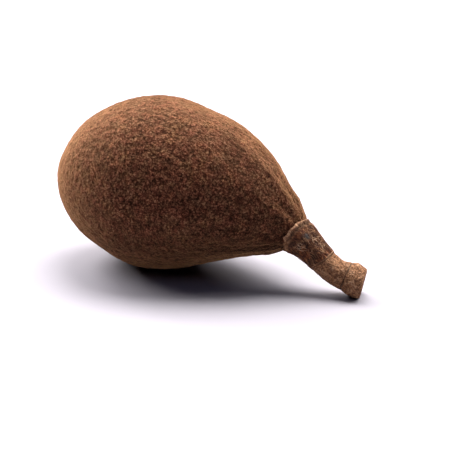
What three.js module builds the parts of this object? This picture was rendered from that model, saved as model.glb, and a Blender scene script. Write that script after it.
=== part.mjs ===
// Baobab fruit pod lying on its belly, with the cut stalk on the end toward +X. Millimetres, +Z up.
import * as THREE from 'three';
import { mergeVertices } from 'three/addons/utils/BufferGeometryUtils.js';

// The pod, measured along the spine that runs through its middle.
const POD_LENGTH = 157.5; // blossom end to the joint with the stalk
const NECK_AT = 156; // where it stops narrowing
const POD_RADIUS = 52; // at the widest place
const WIDEST_AT = 61.5; // distance of that place from the blossom end
const BLUNTNESS = 1.7; // how full the blossom end is: 2 would make it an ellipse
const TAPER = 0.86; // how the far half narrows: 1 would make it a cosine
const NECK_RADIUS = 11;
const APEX_HEIGHT = 1.2; // the low point left by the flower at the blossom end
const APEX_RADIUS = 2;

// Soft ribs that gather toward the neck, and the slow unevenness that a grown thing has.
const RIBS = 12;
const FIRST_RIB = 13; // degrees from the top toward -Y
const RIB_HEIGHT = 0.5;
const RIBS_FROM = 88; // where they begin to show
const RIBS_FULL = 140;
const SWELL = 0.2;
// Hollows and lumps: [distance, degrees from the top toward -Y, reach, height].
const LUMPS = [
  [8, 32, 12, -1.7], [26, 2, 18, -0.5], [38, 145, 12, -1.2], [70, -20, 14, 0.7], [88, -20, 9, -0.8],
  [106, -26, 14, 0.4], [137, -34, 9, -2], [146, -34, 5, 0.4], [150, 164, 9, 1.5],
];

// The stalk: [distance from the neck, radius], with the torn collar, the ring, the groove and the flared tip.
const STALK_LENGTH = 49.5;
const COLLAR = [[0, 11.4], [1.2, 12.1], [2.6, 11.5], [4, 10.8]];
const SHANK = [[8, 9.8], [14, 8.9], [19, 8.4], [22.2, 8.2]];
const RING = [[23.2, 8.4], [24.2, 7.9], [26, 7.9]];
const WAIST = [[32, 7.8], [36.5, 7.6], [38.4, 7.4], [40, 8.1]];
const TIP = [[42, 8.9], [45, 9.4], [47.4, 9.5], [48.9, 8.9], [STALK_LENGTH, 7.6], [STALK_LENGTH, 4]];
const BARK_RIBS = 7;
const BARK_RIB_HEIGHT = 0.25;
const SHOULDER = 1.8; // how far the knob stands up on its top side
const SHOULDER_TURN = -20; // degrees from the top toward -Y
const SHOULDER_RISE = [31, 38]; // distances from the neck between which it rises, and falls again
const SHOULDER_FALL = [42.5, 47.5];
const JOINT_LEAN = 2.4; // how far the joint leans back over the pod on its -Y side
const LEAN_REACH = 26; // how far along the spine that lean dies away
const JOINT_GAP = 0.3;

// The spine: [distance, degrees down from level, degrees toward -Y]. Between these it turns smoothly.
const BENDS = [
  [0, 0.8, 0], [65.5, 0.8, 0], [NECK_AT, 23.5, 4.1], [NECK_AT + 12.4, 38, 5.2],
  [NECK_AT + 22.3, 38, 5.2], [POD_LENGTH + STALK_LENGTH, 12, -12.1],
];
const BELLY_FLAT = 0.8; // how much of the belly's roundness the resting flat takes off
const TIP_FLAT = 0.15;

const POD_RINGS = 42;
const POD_SIDES = 84;
const STALK_SIDES = 35;

const { clamp, degToRad, lerp, smoothstep } = THREE.MathUtils;

function headingAt(distance) {
  const next = BENDS.findIndex((bend) => bend[0] > distance);
  const i = next < 0 ? BENDS.length - 1 : Math.max(1, next);
  const [from, to] = [BENDS[i - 1], BENDS[i]];
  const turned = smoothstep(distance, from[0], to[0]);
  const down = degToRad(lerp(from[1], to[1], turned));
  const aside = degToRad(lerp(from[2], to[2], turned));
  return new THREE.Vector3(
    Math.cos(down) * Math.cos(aside), -Math.cos(down) * Math.sin(aside), -Math.sin(down));
}

// The spine, walked in short steps from the blossom end.
const STEP = 0.5;
const SPINE = [new THREE.Vector3()];
for (let walked = 0; walked < POD_LENGTH + STALK_LENGTH; walked += STEP) {
  const last = SPINE[SPINE.length - 1];
  SPINE.push(last.clone().addScaledVector(headingAt(walked + STEP / 2), STEP));
}

function spineAt(distance) {
  const steps = clamp(distance / STEP, 0, SPINE.length - 2);
  const i = Math.floor(steps);
  const point = SPINE[i].clone().lerp(SPINE[i + 1], steps - i);
  return point.addScaledVector(headingAt(0), Math.min(0, distance));
}

function podRadius(distance) {
  if (distance < WIDEST_AT) {
    const back = (WIDEST_AT - distance) / WIDEST_AT;
    return POD_RADIUS * Math.sqrt(Math.max(0, 1 - back ** BLUNTNESS));
  }
  const on = Math.min(1, (distance - WIDEST_AT) / (NECK_AT - WIDEST_AT));
  return NECK_RADIUS + (POD_RADIUS - NECK_RADIUS) * Math.max(0, Math.cos(Math.PI / 2 * on)) ** TAPER;
}

// A place on the pod's plain round body, with the spine pulled straight.
function straightened(distance, angle) {
  const radius = podRadius(distance);
  return new THREE.Vector3(distance, radius * Math.sin(angle), radius * Math.cos(angle));
}

// How far the pod's skin stands off its plain round body. The angle starts at the top and turns toward -Y.
function podRelief(distance, angle) {
  const share = distance / POD_LENGTH;
  const gathered = smoothstep(distance, RIBS_FROM, RIBS_FULL) * Math.min(1, podRadius(distance) / 26);
  const uneven = 0.75 + 0.25 * Math.cos(3 * angle);
  const ribs = RIB_HEIGHT * Math.cos(RIBS * (angle - degToRad(FIRST_RIB))) * gathered * uneven;
  const swell = Math.cos(2 * angle + 3 * share) + 0.7 * Math.cos(3 * angle - 5 * share);
  let lumps = 0;
  for (const [at, turn, reach, height] of LUMPS) {
    const apart = straightened(distance, angle).distanceTo(straightened(at, degToRad(turn)));
    lumps += height * Math.exp(-((apart / reach) ** 2));
  }
  return ribs + SWELL * swell * Math.sin(Math.PI * share) + lumps;
}

function barkRelief(distance, angle) {
  const on = distance - POD_LENGTH;
  const facing = Math.max(0, Math.cos(angle - degToRad(SHOULDER_TURN))) ** 2;
  const raised = smoothstep(on, ...SHOULDER_RISE) * (1 - smoothstep(on, ...SHOULDER_FALL));
  const ribs = BARK_RIB_HEIGHT * Math.cos(BARK_RIBS * angle + 0.9 * Math.sin(angle + 2));
  return ribs + SHOULDER * facing * raised;
}

// Bends a lathe turned about +Y along the spine: its height becomes the distance, its radius is raised
// by the relief, and the rings near the joint lean with it.
function grow(profile, sides, relief) {
  const geometry = new THREE.LatheGeometry(profile, sides);
  const place = geometry.attributes.position;
  for (let i = 0; i < place.count; i++) {
    const angle = Math.atan2(place.getX(i), place.getZ(i));
    const plain = Math.hypot(place.getX(i), place.getZ(i));
    const height = place.getY(i);
    const radius = plain + relief(height, angle) * Math.min(1, plain / NECK_RADIUS);
    const lean = JOINT_LEAN * smoothstep(LEAN_REACH - Math.abs(height - POD_LENGTH), 0, LEAN_REACH);
    const distance = height - lean * Math.sin(angle) * Math.min(1, plain / NECK_RADIUS);
    const heading = headingAt(distance);
    const side = heading.clone().cross(new THREE.Vector3(0, 0, 1)).normalize();
    const up = side.clone().cross(heading);
    const point = spineAt(distance);
    point.addScaledVector(up, radius * Math.cos(angle)).addScaledVector(side, radius * Math.sin(angle));
    place.setXYZ(i, point.x, point.y, point.z);
  }
  geometry.deleteAttribute('normal');
  geometry.deleteAttribute('uv');
  return mergeVertices(geometry, 1e-4);
}

function fruitPod() {
  const profile = [new THREE.Vector2(0, -APEX_HEIGHT), new THREE.Vector2(APEX_RADIUS, -APEX_HEIGHT / 2)];
  // Rings crowd toward both ends, where the profile turns quickest. The first clears the apex.
  const first = 0.07;
  for (let i = 0; i <= POD_RINGS; i++) {
    const turn = Math.PI * lerp(first, 1, i / POD_RINGS);
    const distance = POD_LENGTH * (1 - Math.cos(turn)) / 2;
    profile.push(new THREE.Vector2(podRadius(distance), distance));
  }
  profile.push(new THREE.Vector2(NECK_RADIUS / 2, POD_LENGTH), new THREE.Vector2(0, POD_LENGTH));
  return grow(profile, POD_SIDES, podRelief);
}

function stalk() {
  const stations = [
    [0, 0], [0, NECK_RADIUS / 2], ...COLLAR, ...SHANK, ...RING, ...WAIST, ...TIP, [STALK_LENGTH, 0],
  ];
  const profile = stations.map(([distance, radius]) => {
    const kept = JOINT_GAP * (1 - distance / STALK_LENGTH);
    return new THREE.Vector2(radius, POD_LENGTH + distance + kept);
  });
  return grow(profile, STALK_SIDES, barkRelief);
}

function boxOf(piece) {
  return new THREE.Box3().setFromBufferAttribute(piece.attributes.position);
}

// The belly and the stalk's tip each keep a small flat where they meet one floor.
function settle(pieces) {
  const [pod, shank] = pieces.map(boxOf);
  const floor = Math.max(pod.min.z + BELLY_FLAT, shank.min.z + TIP_FLAT);
  for (const piece of pieces) {
    const place = piece.attributes.position;
    for (let i = 0; i < place.count; i++) place.setZ(i, Math.max(floor, place.getZ(i)));
  }
}

// The origin goes on the floor under the middle of the pieces together.
function centre(pieces) {
  const whole = new THREE.Box3();
  for (const piece of pieces) whole.union(boxOf(piece));
  const middle = whole.getCenter(new THREE.Vector3());
  for (const piece of pieces) piece.translate(-middle.x, -middle.y, -whole.min.z);
}

function mesh(name, geometry, color, roughness) {
  geometry.computeVertexNormals();
  const piece = new THREE.Mesh(geometry, new THREE.MeshStandardMaterial({ color, roughness, metalness: 0 }));
  piece.name = name;
  return piece;
}

const pieces = [fruitPod(), stalk()];
settle(pieces);
centre(pieces);

const group = new THREE.Group();
group.name = 'baobab_fruit_pod';
group.add(mesh('fruit_pod', pieces[0], 0x6f4430, 0.95));
group.add(mesh('stalk', pieces[1], 0x6a4a38, 0.9));

export default group;
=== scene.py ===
"""A whole baobab fruit: a velvety pod and its woody stalk, lying on a pale floor."""

import math

import bpy
import numpy as np
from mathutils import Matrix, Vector, noise


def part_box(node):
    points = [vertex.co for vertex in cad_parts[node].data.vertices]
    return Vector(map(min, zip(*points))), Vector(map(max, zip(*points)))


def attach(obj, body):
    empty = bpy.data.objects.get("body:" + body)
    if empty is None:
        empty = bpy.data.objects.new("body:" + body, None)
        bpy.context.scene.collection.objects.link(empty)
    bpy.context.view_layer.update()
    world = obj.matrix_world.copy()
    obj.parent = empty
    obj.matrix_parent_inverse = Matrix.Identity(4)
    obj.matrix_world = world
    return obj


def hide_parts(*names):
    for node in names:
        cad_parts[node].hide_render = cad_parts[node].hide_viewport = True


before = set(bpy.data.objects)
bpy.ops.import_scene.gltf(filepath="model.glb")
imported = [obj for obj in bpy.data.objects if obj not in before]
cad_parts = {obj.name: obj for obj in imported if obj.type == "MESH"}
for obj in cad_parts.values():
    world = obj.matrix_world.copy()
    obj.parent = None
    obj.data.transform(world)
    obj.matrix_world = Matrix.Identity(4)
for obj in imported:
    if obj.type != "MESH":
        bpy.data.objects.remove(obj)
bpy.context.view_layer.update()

MM = 0.001  # shapes are worked out in millimetres, and the studio in metres

# The form, as the CAD has it. Distances run along the spine from the blossom end, and angles are in degrees
# from the top toward -Y.
POD_LENGTH = 157.5
NECK_AT = 156
POD_RADIUS = 52
WIDEST_AT = 61.5
BLUNTNESS = 1.7
TAPER = 0.86
NECK_RADIUS = 11
APEX_HEIGHT = 1.2
RIBS = 12
FIRST_RIB = 13
RIB_HEIGHT = 0.5
RIBS_FROM = 88
RIBS_FULL = 140
RIBS_THIN_BELOW = 26  # the pod's radius under which the ribs lose height
SWELL = 0.2
# Hollows and lumps: (distance, degrees from the top toward -Y, reach, height).
LUMPS = [
    (8, 32, 12, -1.7), (26, 2, 18, -0.5), (38, 145, 12, -1.2), (70, -20, 14, 0.7), (88, -20, 9, -0.8),
    (106, -26, 14, 0.4), (137, -34, 9, -2), (146, -34, 5, 0.4), (150, 164, 9, 1.5),
]
STALK_LENGTH = 49.5
# The stalk's outline, with its edges a little rounder than in the CAD: (distance from the joint, radius).
STALK = [
    (0, 10.8), (0.6, 11.7), (1.2, 12.1), (2.6, 11.5), (4, 10.8), (8, 9.8), (14, 8.9), (19, 8.4), (22.2, 8.2),
    (24.2, 7.9), (26, 7.9), (32, 7.8), (36.5, 7.6), (38.4, 7.5), (40, 8.1), (42, 8.9), (45, 9.4), (47.4, 9.5),
    (48.5, 9.1), (49.2, 8.5), (49.4, 7.8),
]
END_RADIUS = 8.3  # how far from its middle the cut end reaches toward +X
BARK_RIBS = 7
BARK_RIB_HEIGHT = 0.25
SHOULDER = 1.8
SHOULDER_TURN = -20
SHOULDER_RISE = 31, 38
SHOULDER_FALL = 42.5, 47.5
JOINT_LEAN = 2.4
LEAN_REACH = 26
BENDS = np.array([
    (0, 0.8, 0), (65.5, 0.8, 0), (NECK_AT, 23.5, 4.1), (NECK_AT + 12.4, 38, 5.2),
    (NECK_AT + 22.3, 38, 5.2), (POD_LENGTH + STALK_LENGTH, 12, -12.1),
])

# Detail that the CAD leaves out.
APEX_REACH = 3.2
SHANK_RADIUS = 9  # a middling radius, for patterns that run round the stalk
LIP_AT, LIP_WIDTH = 0.8, 0.95  # the collar's torn lip, and the dip behind it
BEHIND_LIP_AT, BEHIND_LIP_WIDTH = 2.4, 0.8
RING_AT, RING_WIDTH = 23.2, 0.3
WAIST_AT, WAIST_WIDTH = 38.4, 0.5
PATCH_AT, PATCH_TURN = 7.6, 40  # the grey patch on the bark
KNOB_FROM, KNOB_FULL = 24, 42  # the bark's ribs fade and the knob grows uneven between these
FOLD_START = 26  # each fold rises out of the plain skin over this length
# Folds that can be told apart near the neck: height, half width, then (distance, degrees) along each.
FOLDS = [
    (0.35, 3.2, [(108, 0), (133, 13), (142, 14), (158, -10)]),
    (-0.5, 2.0, [(122, 30), (135, 38), (148, 27), (158, 29)]),
    (0.5, 2.6, [(118, 36), (138, 51), (145, 47), (158, 38)]),
    (-0.5, 1.8, [(128, 74), (140, 67), (154, 55), (158, 54)]),
    (-0.8, 1.7, [(130, 93), (147, 90), (154, 82), (158, 80)]),
    (0.45, 1.4, [(122, 103), (141, 99), (153, 88), (158, 87)]),
    (0.45, 1.6, [(122, 117), (141, 114), (158, 112)]),
]

# How finely the two skins are modelled.
POD_ROWS, POD_SIDES = 236, 416
STALK_ROWS, STALK_SIDES = 230, 220
# Loose fibres on the bark: how many, between which heights and degrees they lie, and their usual length.
FIBRES = [
    (80, (3.5, 22), (-180, 180), 5.5), (44, (9, 17), (-45, 40), 4.2), (18, (6, 11), (62, 100), 3.4),
    (50, (0.5, 2.2), (-20, 84), 2.2),
]


def smooth(value, low, high):
    share = np.clip((value - low) / (high - low), 0, 1)
    return share * share * (3 - 2 * share)


def bump(value, centre, reach):
    return np.exp(-(((value - centre) / reach) ** 2))


# ---- the form ----

def heading(distance):
    i = np.clip(np.searchsorted(BENDS[:, 0], distance, side="right"), 1, len(BENDS) - 1)
    before, after = BENDS[i - 1], BENDS[i]
    turned = smooth(distance, before[..., 0], after[..., 0])
    down = np.radians(before[..., 1] + (after[..., 1] - before[..., 1]) * turned)
    aside = np.radians(before[..., 2] + (after[..., 2] - before[..., 2]) * turned)
    return np.stack([np.cos(down) * np.cos(aside), -np.cos(down) * np.sin(aside), -np.sin(down)], -1)


STEP = 0.5
WALKED = np.arange(0, POD_LENGTH + STALK_LENGTH + STEP, STEP)
SPINE = np.vstack([np.zeros(3), np.cumsum(heading(WALKED[:-1] + STEP / 2) * STEP, axis=0)])


def spine(distance):
    point = np.stack([np.interp(distance, WALKED, SPINE[:, axis]) for axis in range(3)], -1)
    return point + heading(np.zeros(1)) * np.minimum(distance, 0)[..., None]


def pod_radius(distance):
    back = np.clip((WIDEST_AT - distance) / WIDEST_AT, 0, 1)
    blossom_half = POD_RADIUS * np.sqrt(1 - back**BLUNTNESS)
    on = np.clip((distance - WIDEST_AT) / (NECK_AT - WIDEST_AT), 0, 1)
    neck_half = NECK_RADIUS + (POD_RADIUS - NECK_RADIUS) * np.maximum(0, np.cos(np.pi / 2 * on)) ** TAPER
    return np.where(distance < WIDEST_AT, blossom_half, neck_half)


def straight(distance, angle, radius):
    """The place of a point of skin with the spine pulled straight, so that patterns follow the bend."""
    return np.stack([distance + 0 * angle, radius * np.sin(angle), radius * np.cos(angle)], -1)


def pod_relief(distance, angle):
    share = distance / POD_LENGTH
    radius = pod_radius(distance)
    gathered = smooth(distance, RIBS_FROM, RIBS_FULL) * np.minimum(1, radius / RIBS_THIN_BELOW)
    ribs = RIB_HEIGHT * np.cos(RIBS * (angle - math.radians(FIRST_RIB))) * (0.75 + 0.25 * np.cos(3 * angle))
    swell = np.cos(2 * angle + 3 * share) + 0.7 * np.cos(3 * angle - 5 * share)
    relief = ribs * gathered + SWELL * swell * np.sin(np.pi * np.clip(share, 0, 1))
    here = straight(distance, angle, radius)
    for at, turn, reach, height in LUMPS:
        there = straight(np.array(float(at)), np.radians(turn), pod_radius(np.array(float(at))))
        relief = relief + height * np.exp(-(((here - there) ** 2).sum(-1) / reach**2))
    return relief


def place(height, angle, radius):
    """Points for a tube's own height, angle and radius: it bends with the spine and leans at the joint."""
    near = JOINT_LEAN * smooth(LEAN_REACH - np.abs(height - POD_LENGTH), 0, LEAN_REACH)
    distance = height - near * np.sin(angle) * np.minimum(1, radius / NECK_RADIUS)
    along = heading(distance)
    side = np.cross(along, [0.0, 0.0, 1.0])
    side /= np.linalg.norm(side, axis=-1, keepdims=True)
    up = np.cross(side, along)
    out = np.cos(angle)[..., None] * up + np.sin(angle)[..., None] * side
    return spine(distance) + radius[..., None] * out


# ---- noise over many points ----

def perlin(points, scale, seed=0):
    moved = (points * scale + seed * 17.3).reshape(-1, 3)
    return np.array([noise.noise(Vector(p)) for p in moved]).reshape(points.shape[:-1])


def rough(points, scale, octaves, seed=0):
    moved = (points * scale + seed * 17.3).reshape(-1, 3)
    values = [noise.fractal(Vector(p), 0.8, 2.1, octaves) for p in moved]
    return np.array(values).reshape(points.shape[:-1])


# ---- meshes ----

def tube_mesh(name, points, attributes):
    """A closed skin from rows of points. The first and last rows are drawn in to a single point each."""
    rows, sides = points.shape[:2]
    first, last = points[0].mean(0), points[-1].mean(0)
    vertices = np.vstack([points.reshape(-1, 3), first, last])
    ids = np.arange(rows * sides).reshape(rows, sides)
    here, there = ids[:-1], ids[1:]
    quads = np.stack([here, np.roll(here, -1, 1), np.roll(there, -1, 1), there], -1).reshape(-1, 4)
    start = [(rows * sides, b, a) for a, b in zip(ids[0], np.roll(ids[0], -1))]
    end = [(rows * sides + 1, a, b) for a, b in zip(ids[-1], np.roll(ids[-1], -1))]
    mesh = bpy.data.meshes.new(name)
    mesh.from_pydata((vertices * MM).tolist(), [], quads.tolist() + start + end)
    for key, values in attributes.items():
        flat = values.reshape(rows * sides, -1)
        flat = np.vstack([flat, values[0].reshape(sides, -1).mean(0), values[-1].reshape(sides, -1).mean(0)])
        vector = flat.shape[1] == 3
        layer = mesh.attributes.new(key, "FLOAT_VECTOR" if vector else "FLOAT", "POINT")
        layer.data.foreach_set("vector" if vector else "value", flat.astype(np.float32).ravel())
    mesh.shade_smooth()
    piece = bpy.data.objects.new(name, mesh)
    bpy.context.collection.objects.link(piece)
    return piece


def grid(heights, sides):
    angle = np.linspace(0, 2 * np.pi, sides, endpoint=False)
    return np.meshgrid(heights, angle, indexing="ij")


def even_heights(profile_height, profile_radius, rows):
    """Heights that are evenly spaced along the profile's outline."""
    length = np.concatenate([[0], np.cumsum(np.hypot(np.diff(profile_height), np.diff(profile_radius)))])
    wanted = np.linspace(0, length[-1], rows)
    return np.interp(wanted, length, profile_height), np.interp(wanted, length, profile_radius)


def frame_offset():
    """What brings the form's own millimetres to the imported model's place."""
    low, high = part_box("fruit_pod")
    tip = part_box("stalk")[1]
    height, angle = grid(np.linspace(0.5, POD_LENGTH - 0.5, 200), 180)
    body = place(height, angle, pod_radius(height) + pod_relief(height, angle))
    widest_y = (body[..., 1].max() + body[..., 1].min()) / 2
    around = np.linspace(0, 2 * np.pi, 90)
    end = place(np.full(90, POD_LENGTH + STALK_LENGTH), around, np.full(90, END_RADIUS))
    return np.array([
        tip.x / MM - end[:, 0].max(),
        (low.y + high.y) / 2 / MM - widest_y,
        high.z / MM - body[..., 2].max(),
    ])


OFFSET = frame_offset()


def settled(points):
    moved = points + OFFSET
    moved[..., 2] = np.maximum(moved[..., 2], 0)
    return moved


def folds(distance, angle):
    """The height of the folds that run to the neck."""
    height = 0 * distance
    radius = pod_radius(distance)
    for rise, half_width, course in FOLDS:
        along, turn = np.array(course, float).T
        apart = (angle - np.radians(np.interp(distance, along, turn)) + np.pi) % (2 * np.pi) - np.pi
        begun = smooth(distance, along[0], along[0] + FOLD_START)
        height = height + rise * begun * bump(apart * radius, 0, half_width)
    return height


def pod_skin():
    fine = np.linspace(0, POD_LENGTH, 4000)
    height, radius = even_heights(fine, pod_radius(fine), POD_ROWS)
    height, angle = grid(height[1:], POD_SIDES)
    radius = np.repeat(radius[1:, None], POD_SIDES, 1)
    here = straight(height, angle, radius)

    # A felt of short wisps and granules all over, and fine wrinkles that run with the folds toward the neck.
    lumps = rough(here, 1 / 7, 2, seed=1)
    wisps = 0.3 - 2.2 * np.abs(perlin(here, 1 / 3.6, seed=2))
    granules = perlin(here, 1 / 2.2, seed=12)
    toward_neck = smooth(height, 92, 145)
    wrinkles = 0.5 - 2.4 * np.abs(perlin(here * [0.05, 0.36, 0.36], 1, seed=3))
    grain = 0.16 * lumps + 0.24 * wisps * (1 - 0.3 * toward_neck) + 0.34 * granules
    grain = grain + 0.22 * toward_neck * wrinkles
    apex = APEX_HEIGHT * bump(np.hypot(here[..., 1], here[..., 2]), 0, APEX_REACH) * (height < WIDEST_AT)
    closing = np.minimum(1, radius / NECK_RADIUS)
    radius = radius + (pod_relief(height, angle) + folds(height, angle) + grain) * closing
    points = place(height - apex, angle, radius)
    neck = [place(np.full(POD_SIDES, POD_LENGTH), angle[0], radius[-1] * share) for share in (0.7, 0.35)]
    points = np.concatenate([points, np.array(neck)])
    # Painted shade: the skin's colour is darkened toward the neck and on the underside, where the pod lies in
    # shade.
    painted_shade = 0.43 * smooth(height, 70, 145) + 0.57 * smooth(-np.cos(angle), -0.25, 0.8)
    extra = np.repeat(here[-1:], 2, 0)
    # Painted shade and highlight: this height darkens the colour in the hollows and fold grooves and lightens
    # it on the raised grain and fold ridges.
    relief_shade_height = np.concatenate([grain + 0.25 * folds(height, angle), np.zeros((2, POD_SIDES))])
    return tube_mesh("pod_skin", settled(points), {
        "straight": np.concatenate([here, extra]),
        "painted_relief_shade": relief_shade_height,
        "painted_shade": np.concatenate([painted_shade, painted_shade[-2:]]),
    })


def turned_from(angle, degrees):
    """How far an angle is from a direction, in degrees from -180 to 180."""
    return (np.degrees(angle) - degrees + 180) % 360 - 180


def lip(angle):
    """How much of the torn collar stands at each angle: all of it from the top round to the -Y side, a
    quarter of it down the +Y side, and a last piece low on that side."""
    turned = turned_from(angle, -8)
    front = (1 - smooth(np.abs(turned), 92, 108)) * (0.25 + 0.8 * smooth(turned, -25, 15))
    return front + 0.5 * bump(turned_from(angle, -150), 0, 30)


def bark_form(height, angle):
    """The stalk's radius and its parts' masks, before its fine grain. The height starts at the joint."""
    outline = np.array(STALK, float)
    radius = np.interp(height, outline[:, 0], outline[:, 1])
    around = straight(height * 0, angle, height * 0 + SHANK_RADIUS)
    torn = rough(around, 1 / 2.2, 3, seed=9)
    # The ring isn't square to the stalk: it comes nearest to the pod low on the -Y side.
    ring_at = RING_AT - 0.9 * bump(turned_from(angle, -20), 0, 40)
    ring_at = ring_at - 2.4 * bump(turned_from(angle, 125), 0, 55)
    ring_at = ring_at + 0.35 * perlin(around, 1 / 5, seed=4)
    waist_at = WAIST_AT + 0.5 * perlin(around, 1 / 6, seed=5)  # the groove before the knob
    masks = {
        "bark": smooth(height, 2.5, 4.5) * (1 - smooth(height, ring_at - 0.6, ring_at + 0.4)),
        "lip": bump(height, LIP_AT, LIP_WIDTH) * lip(angle) * (0.8 + 0.6 * torn),
        "behind_lip": bump(height, BEHIND_LIP_AT, BEHIND_LIP_WIDTH) * lip(angle),
        "ring": bump(height, ring_at, RING_WIDTH) * (0.12 + 0.95 * bump(turned_from(angle, -14), 0, 30)),
        "ring_groove": bump(height, ring_at + 0.7, 0.45),
        "waist": bump(height, waist_at, WAIST_WIDTH),
    }
    facing = np.maximum(0, np.cos(angle - math.radians(SHOULDER_TURN))) ** 2
    shoulder = SHOULDER * facing * smooth(height, *SHOULDER_RISE) * (1 - smooth(height, *SHOULDER_FALL))
    knob = smooth(height, KNOB_FROM, KNOB_FULL)
    ribs = BARK_RIB_HEIGHT * np.cos(BARK_RIBS * angle + 0.9 * np.sin(angle + 2)) * (1 - 0.75 * knob)
    uneven = 0.45 * perlin(straight(height, angle, height * 0 + SHANK_RADIUS), 1 / 7, seed=14) * knob
    relief = ribs + uneven + shoulder
    relief = relief - 1.1 * (1 - np.clip(lip(angle), 0, 1)) * bump(height, 1.0, 1.5)
    relief = relief + 0.5 * masks["lip"] * (1 + torn) - 0.5 * masks["behind_lip"]
    relief = relief + 0.4 * masks["ring"] - 0.25 * masks["ring_groove"] - 0.2 * masks["waist"]
    # The collar's edge is ragged, with one deep notch.
    edge = 0.9 * torn - 1.3 * bump(turned_from(angle, 90), 0, 9)
    ragged = height + edge * bump(height, 0.5, 1.4) * lip(angle)
    return ragged, radius + relief, masks


def stalk_skin():
    end = STALK[-1][0]
    fine = np.linspace(0, end, 3000)
    height, radius = even_heights(fine, np.interp(fine, *np.array(STALK, float).T), STALK_ROWS)
    height, angle = grid(height, STALK_SIDES)
    here = straight(height, angle, np.repeat(radius[:, None], STALK_SIDES, 1))
    ragged, radius, masks = bark_form(height, angle)
    bark = masks["bark"]

    strings = rough(here * [0.28, 0.9, 0.9], 1, 3, seed=6)
    flakes = smooth(rough(here * [0.3, 0.45, 0.45], 1, 2, seed=7), -0.05, 0.12)
    grit = perlin(here, 1 / 1.1, seed=8)
    warts = np.maximum(0, perlin(here, 1 / 2.6, seed=13))
    relief = bark * (0.3 * strings + 0.32 * flakes - 0.2)
    relief = relief + (1 - bark) * (0.12 * strings + 0.1 * grit + 0.35 * warts * (1 - masks["lip"]))
    points = place(POD_LENGTH + ragged, angle, radius + relief)

    # The cut end: a flat face with faint rings and a slightly sunken pith.
    face, face_here = [], []
    for share in (0.93, 0.8, 0.62, 0.44, 0.26, 0.1):
        sunk = 0.45 * bump(share, 0, 0.3) - 0.1 * math.cos(24 * share)
        rim = radius[-1] + relief[-1]
        face_here.append(straight(height[-1], angle[-1], rim * share))
        grain = 0.18 * rough(face_here[-1] + [share, 0, 0], 1 / 1.6, 2, seed=10)
        face.append(place(POD_LENGTH + STALK_LENGTH - sunk + grain, angle[-1], rim * share))
    under = np.full(STALK_SIDES, POD_LENGTH + 0.35)
    base = [place(under, angle[0], radius[0] * share) for share in (0.4, 0.8)]
    points = np.concatenate([np.array(base), points, np.array(face)])

    def whole(values, at_base, at_face):
        low = np.full((len(base), STALK_SIDES), float(at_base))
        high = np.full((len(face), STALK_SIDES), float(at_face))
        return np.concatenate([low, values, high])

    ends = [np.repeat(here[:1], len(base), 0), here, np.array(face_here)]
    tan = np.clip(masks["lip"] + masks["ring"] + 0.5 * warts * (1 - bark), 0, 1)
    shade = np.clip(0.8 * masks["ring_groove"] + 0.9 * masks["waist"] + 0.9 * masks["behind_lip"], 0, 1)
    lichen = bump(turned_from(angle, PATCH_TURN), 0, 10) * bump(height, PATCH_AT, 1.5)
    return tube_mesh("stalk_skin", settled(points), {
        "straight": np.concatenate(ends),
        "tan": whole(tan, 0, 0),
        "shade": whole(shade, 1, 0),
        "bark": whole(bark, 0, 0),
        "lichen": whole(lichen, 0, 0),
        "cut": whole(0 * height, 0, 1),
    })


def strand(middle, radius):
    """A thin four-sided fibre along a line of points, pointed at both ends, as vertices and faces."""
    ahead = np.gradient(middle, axis=0)
    ahead /= np.linalg.norm(ahead, axis=-1, keepdims=True)
    side = np.cross(ahead, [0.3, 0.9, 0.3])
    side /= np.linalg.norm(side, axis=-1, keepdims=True)
    rise = np.cross(ahead, side)
    swell = radius * np.sin(np.linspace(0.12, np.pi - 0.12, len(middle)))[:, None]
    rings = np.stack([middle + swell * way for way in (side, rise, -side, -rise)], 1)
    vertices = np.vstack([rings.reshape(-1, 3), middle[0], middle[-1]])
    last = len(middle) - 1
    faces = []
    for k in range(last):
        for i in range(4):
            j = (i + 1) % 4
            faces.append((4 * k + i, 4 * k + j, 4 * k + 4 + j, 4 * k + 4 + i))
    for i in range(4):
        j = (i + 1) % 4
        faces.append((4 * len(middle), j, i))
        faces.append((4 * len(middle) + 1, 4 * last + i, 4 * last + j))
    return vertices, faces


def bark_fibres():
    """Loose pale fibres that lie scratched across the bark, and a fringe of them along the collar's lip."""
    chance = np.random.default_rng(11)
    vertices, faces, count = [], [], 0
    for many, heights_between, degrees_between, typical in FIBRES:
        for _ in range(many):
            height = chance.uniform(*heights_between)
            angle = math.radians(chance.uniform(*degrees_between))
            length = typical * chance.uniform(0.5, 1.2)
            slant = chance.normal(0, 0.8)
            along = np.linspace(-0.5, 0.5, 7) * length
            bow = chance.normal(0, 0.35) * (1 - (2 * along / length) ** 2)
            heights = height + along * math.cos(slant) - bow * math.sin(slant)
            angles = angle + (along * math.sin(slant) + bow * math.cos(slant)) / SHANK_RADIUS
            heights, radius, _ = bark_form(heights, angles)
            lift = 0.24 + chance.uniform(0, 0.25) * (2 * along / length) ** 2
            middle = settled(place(POD_LENGTH + heights, angles, radius + lift))
            corners, sides = strand(middle, chance.uniform(0.06, 0.12))
            vertices.append(corners)
            faces += [tuple(count + i for i in side) for side in sides]
            count += len(corners)
    mesh = bpy.data.meshes.new("bark_fibres")
    mesh.from_pydata((np.vstack(vertices) * MM).tolist(), [], faces)
    mesh.shade_smooth()
    piece = bpy.data.objects.new("bark_fibres", mesh)
    bpy.context.collection.objects.link(piece)
    return piece


# ---- materials ----

def add(tree, kind, inputs=None, **settings):
    made = tree.nodes.new(kind)
    for key, value in settings.items():
        setattr(made, key, value)
    for key, value in (inputs or {}).items():
        if isinstance(value, bpy.types.NodeSocket):
            tree.links.new(value, made.inputs[key])
        else:
            made.inputs[key].default_value = value
    return made


def math_node(tree, operation, first, second=0.0):
    return add(tree, "ShaderNodeMath", {0: first, 1: second}, operation=operation).outputs[0]


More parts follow.
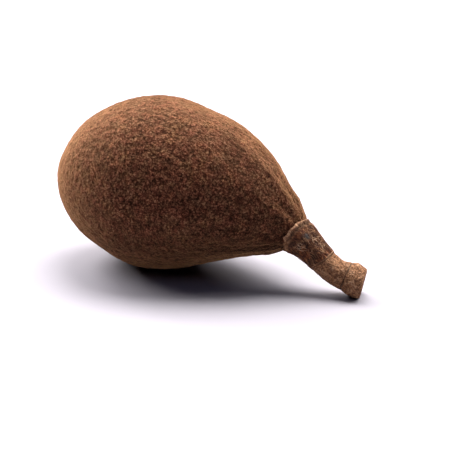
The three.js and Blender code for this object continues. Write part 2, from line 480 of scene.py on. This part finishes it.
def ramp(tree, factor, stops):
    made = add(tree, "ShaderNodeValToRGB", {"Fac": factor})
    elements = made.color_ramp.elements
    while len(elements) < len(stops):
        elements.new(0.5)
    for element, (position, colour) in zip(elements, stops):
        element.position = position
        element.color = (*colour, 1)
    return made.outputs["Color"]


def mix(tree, factor, first, second, blend="MIX"):
    made = add(tree, "ShaderNodeMix", data_type="RGBA", blend_type=blend)
    for socket, value in (("Factor", factor), ("A", first), ("B", second)):
        kind = "Factor_Float" if socket == "Factor" else f"{socket}_Color"
        target = next(i for i in made.inputs if i.identifier == kind)
        if isinstance(value, bpy.types.NodeSocket):
            tree.links.new(value, target)
        else:
            target.default_value = value
    return next(o for o in made.outputs if o.identifier == "Result_Color")


def attribute(tree, name, output="Fac"):
    return add(tree, "ShaderNodeAttribute", attribute_name=name).outputs[output]


def noise_node(tree, vector, scale, detail=2.0, roughness=0.5, distortion=0.0):
    inputs = {
        "Vector": vector, "Scale": scale, "Detail": detail, "Roughness": roughness, "Distortion": distortion,
    }
    return add(tree, "ShaderNodeTexNoise", inputs)


def new_material(name):
    made = bpy.data.materials.new(name)
    made.use_nodes = True
    return made, made.node_tree, made.node_tree.nodes["Principled BSDF"]


def velvet_material():
    """Brown plush skin: wisps, curled strands and granules over deep brown pits, painted shade in the hollows
    and fold grooves, toward the neck and on the underside, painted highlight on the raised grain and fold
    ridges, and a nap that catches light.
    """
    made, tree, skin = new_material("velvet")
    where = attribute(tree, "straight", "Vector")
    wisps = noise_node(tree, where, 0.72, 4.0, 0.8, 0.7).outputs["Fac"]
    curls = math_node(tree, "SUBTRACT", noise_node(tree, where, 0.6, 2.0, 0.6, 1.0).outputs["Fac"], 0.5)
    away = math_node(tree, "MULTIPLY", math_node(tree, "ABSOLUTE", curls), 7.0)
    strands = math_node(tree, "MAXIMUM", math_node(tree, "SUBTRACT", 1.0, away), 0.0)
    cells = add(tree, "ShaderNodeTexVoronoi", {"Vector": where, "Scale": 0.85, "Randomness": 1.0})
    granules = math_node(tree, "SUBTRACT", 1.0, cells.outputs["Distance"])
    grain = math_node(tree, "MULTIPLY", wisps, 0.6)
    grain = math_node(tree, "ADD", grain, math_node(tree, "MULTIPLY", strands, 0.16))
    grain = math_node(tree, "ADD", grain, math_node(tree, "MULTIPLY", granules, 0.22))
    colour = ramp(tree, grain, [
        (0.35, (0.01, 0.003, 0.0015)), (0.44, (0.044, 0.0148, 0.0076)), (0.52, (0.093, 0.0338, 0.0182)),
        (0.64, (0.275, 0.13, 0.075)),
    ])
    blotches = noise_node(tree, where, 0.1, 3.0, 0.6).outputs["Fac"]
    patchy = ramp(tree, blotches, [(0.32, (0.78, 0.7, 0.7)), (0.5, (1.0, 1.0, 1.0)), (0.7, (1.2, 1.25, 1.1))])
    colour = mix(tree, 1.0, colour, patchy, "MULTIPLY")
    rust = noise_node(tree, where, 0.23, 2.0, 0.5).outputs["Fac"]
    rusty = ramp(tree, rust, [(0.38, (0.95, 1.04, 1.0)), (0.62, (1.06, 0.94, 0.96))])
    colour = mix(tree, 1.0, colour, rusty, "MULTIPLY")
    # Painted shade and highlight: the colour is darkened in the hollows and fold grooves and lightened on the
    # raised grain and fold ridges.
    painted_relief_factor = add(tree, "ShaderNodeMapRange", {
        "Value": attribute(tree, "painted_relief_shade"), "From Min": -0.4, "From Max": 0.4, "To Min": 0.5, "To Max": 1.5,
    }).outputs[0]
    colour = mix(tree, 1.0, colour, painted_relief_factor, "MULTIPLY")
    # Painted shade: the colour is darkened toward the neck and on the underside.
    painted_shade_factor = add(tree, "ShaderNodeMapRange", {
        "Value": attribute(tree, "painted_shade"), "To Min": 1.0, "To Max": 0.3,
    }).outputs[0]
    colour = mix(tree, 1.0, colour, painted_shade_factor, "MULTIPLY")
    tree.links.new(colour, skin.inputs["Base Color"])
    dull = add(tree, "ShaderNodeMapRange", {"Value": grain, "To Min": 0.95, "To Max": 0.75}).outputs[0]
    tree.links.new(dull, skin.inputs["Roughness"])
    skin.inputs["Specular IOR Level"].default_value = 0.03
    skin.inputs["Sheen Weight"].default_value = 0.65
    skin.inputs["Sheen Roughness"].default_value = 0.38
    skin.inputs["Sheen Tint"].default_value = (1.0, 0.515, 0.24, 1)
    relief = add(tree, "ShaderNodeBump", {"Height": grain, "Strength": 1.0, "Distance": 0.0006})
    tree.links.new(relief.outputs["Normal"], skin.inputs["Normal"])
    return made


def bark_material():
    """Scratchy red-brown bark up to the ring, smoother warm wood past it, tan on the torn collar and the
    ring, a grey patch, and darker wood on the cut end."""
    made, tree, skin = new_material("bark")
    where = attribute(tree, "straight", "Vector")
    drawn = add(tree, "ShaderNodeVectorMath", {0: where, 1: (0.45, 1.0, 1.0)}, operation="MULTIPLY")
    strings = noise_node(tree, drawn.outputs[0], 0.9, 4.0, 0.75, 0.8).outputs["Fac"]
    specks = noise_node(tree, where, 1.1, 3.0, 0.7).outputs["Fac"]
    old = ramp(tree, strings, [
        (0.36, (0.014, 0.0046, 0.0023)), (0.48, (0.058, 0.0205, 0.0092)), (0.57, (0.135, 0.056, 0.0255)),
        (0.68, (0.42, 0.225, 0.105)),
    ])
    strings_share = math_node(tree, "MULTIPLY", strings, 0.4)
    mixed = math_node(tree, "ADD", strings_share, math_node(tree, "MULTIPLY", specks, 0.6))
    young = ramp(tree, mixed, [
        (0.38, (0.06, 0.0235, 0.0112)), (0.48, (0.178, 0.078, 0.0355)), (0.6, (0.46, 0.225, 0.108)),
    ])
    rust = ramp(tree, noise_node(tree, where, 0.16, 3.0, 0.6, 0.5).outputs["Fac"], [
        (0.4, (0.95, 1.0, 1.0)), (0.62, (1.4, 1.08, 0.88)),
    ])
    old = mix(tree, 1.0, old, rust, "MULTIPLY")
    colour = mix(tree, attribute(tree, "bark"), young, old)
    torn = ramp(tree, specks, [(0.36, (0.24, 0.105, 0.052)), (0.58, (0.88, 0.55, 0.33))])
    colour = mix(tree, attribute(tree, "tan"), colour, torn)
    grey = ramp(tree, specks, [(0.4, (0.022, 0.018, 0.017)), (0.6, (0.09, 0.082, 0.078))])
    colour = mix(tree, attribute(tree, "lichen"), colour, grey)
    end = ramp(tree, specks, [(0.35, (0.02, 0.008, 0.005)), (0.65, (0.11, 0.05, 0.03))])
    colour = mix(tree, attribute(tree, "cut"), colour, end)
    shadow = math_node(tree, "SUBTRACT", 1.0, math_node(tree, "MULTIPLY", attribute(tree, "shade"), 0.75))
    colour = mix(tree, 1.0, colour, shadow, "MULTIPLY")
    tree.links.new(colour, skin.inputs["Base Color"])
    dull = add(tree, "ShaderNodeMapRange", {"Value": strings, "To Min": 0.9, "To Max": 0.65}).outputs[0]
    tree.links.new(dull, skin.inputs["Roughness"])
    skin.inputs["Specular IOR Level"].default_value = 0.2
    height = math_node(tree, "ADD", strings, math_node(tree, "MULTIPLY", specks, 0.7))
    relief = add(tree, "ShaderNodeBump", {"Height": height, "Strength": 0.9, "Distance": 0.0012})
    tree.links.new(relief.outputs["Normal"], skin.inputs["Normal"])
    return made


def fibre_material():
    """Dry straw-coloured fibre that turns rusty in places."""
    made, tree, skin = new_material("fibre")
    where = add(tree, "ShaderNodeTexCoord").outputs["Object"]
    tone = noise_node(tree, where, 160.0, 2.0).outputs["Fac"]
    colour = ramp(tree, tone, [
        (0.38, (0.16, 0.05, 0.024)), (0.5, (0.36, 0.17, 0.085)), (0.64, (0.66, 0.43, 0.27)),
    ])
    tree.links.new(colour, skin.inputs["Base Color"])
    dull = add(tree, "ShaderNodeMapRange", {"Value": tone, "To Min": 0.85, "To Max": 0.6}).outputs[0]
    tree.links.new(dull, skin.inputs["Roughness"])
    skin.inputs["Specular IOR Level"].default_value = 0.3
    relief = add(tree, "ShaderNodeBump", {"Height": tone, "Strength": 0.4, "Distance": 0.0002})
    tree.links.new(relief.outputs["Normal"], skin.inputs["Normal"])
    return made


def floor_material():
    made, _, plain = new_material("floor")
    plain.inputs["Base Color"].default_value = (0.375, 0.358, 0.402, 1)
    plain.inputs["Roughness"].default_value = 0.8
    plain.inputs["Specular IOR Level"].default_value = 0.0
    return made


# ---- the studio ----

CAMERA_AZIMUTH = 23.5
CAMERA_HEIGHT_ANGLE = 20.5
CAMERA_DISTANCE = 0.9
CAMERA_LENS = 114
LOOK_AT = Vector((-0.0009, 0.028, 0.0165))


def add_camera():
    azimuth, elevation = math.radians(CAMERA_AZIMUTH), math.radians(CAMERA_HEIGHT_ANGLE)
    back = Vector((
        math.sin(azimuth) * math.cos(elevation),
        -math.cos(azimuth) * math.cos(elevation),
        math.sin(elevation),
    ))
    camera = bpy.data.objects.new("camera", bpy.data.cameras.new("camera"))
    camera.data.lens = CAMERA_LENS
    camera.location = LOOK_AT + back * CAMERA_DISTANCE
    camera.rotation_euler = back.to_track_quat("Z", "Y").to_euler()
    bpy.context.collection.objects.link(camera)
    bpy.context.scene.camera = camera


# Soft round lamps on a dome over the pod: name, azimuth from -Y toward +X, height angle, watts, colour.
LAMP_DISTANCE = 5.0
LAMP_SIZE = 3.6
WARM = (1.0, 0.98, 0.95)
BLUISH = (0.6, 0.65, 1.0)
LAMPS = [
    ("behind_right", 135, 45, 240, WARM), ("behind", 180, 68, 490, WARM), ("behind_left", 225, 38, 350, WARM),
    ("left", 260, 38, 390, WARM), ("fill", 20, 60, 15, BLUISH),
]
FLOOR_REACH = 5.0  # metres from the middle to each edge


def add_lamp(name, azimuth, height_angle, power, colour):
    azimuth, height_angle = math.radians(azimuth), math.radians(height_angle)
    toward = Vector((
        math.sin(azimuth) * math.cos(height_angle),
        -math.cos(azimuth) * math.cos(height_angle),
        math.sin(height_angle),
    ))
    lamp = bpy.data.objects.new(name, bpy.data.lights.new(name, "AREA"))
    lamp.data.shape = "DISK"
    lamp.data.size = LAMP_SIZE
    lamp.data.energy = power
    lamp.data.color = colour
    lamp.location = toward * LAMP_DISTANCE
    lamp.rotation_euler = toward.to_track_quat("Z", "Y").to_euler()
    lamp.visible_camera = False
    bpy.context.collection.objects.link(lamp)


def add_studio():
    for lamp in LAMPS:
        add_lamp(*lamp)
    world = bpy.data.worlds.new("studio")
    world.use_nodes = True
    background = world.node_tree.nodes["Background"]
    background.inputs["Color"].default_value = (1.0, 1.0, 1.0, 1)
    background.inputs["Strength"].default_value = 1.0
    world.cycles_visibility.diffuse = False  # a white surround to look at: the lamps alone light the pod
    world.cycles_visibility.glossy = False
    bpy.context.scene.world = world
    bpy.context.scene.view_settings.view_transform = "Standard"
    mesh = bpy.data.meshes.new("floor")
    corners = [(x * FLOOR_REACH, y * FLOOR_REACH, 0) for x, y in ((-1, -1), (1, -1), (1, 1), (-1, 1))]
    mesh.from_pydata(corners, [], [(0, 1, 2, 3)])
    floor = bpy.data.objects.new("floor", mesh)
    floor.data.materials.append(floor_material())
    bpy.context.collection.objects.link(floor)


def dress(piece, node, material):
    piece.data.materials.append(material)
    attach(piece, "root")
    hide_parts(node)


add_camera()
add_studio()
dress(pod_skin(), "fruit_pod", velvet_material())
dress(stalk_skin(), "stalk", bark_material())
fibres = bark_fibres()
fibres.data.materials.append(fibre_material())
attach(fibres, "root")
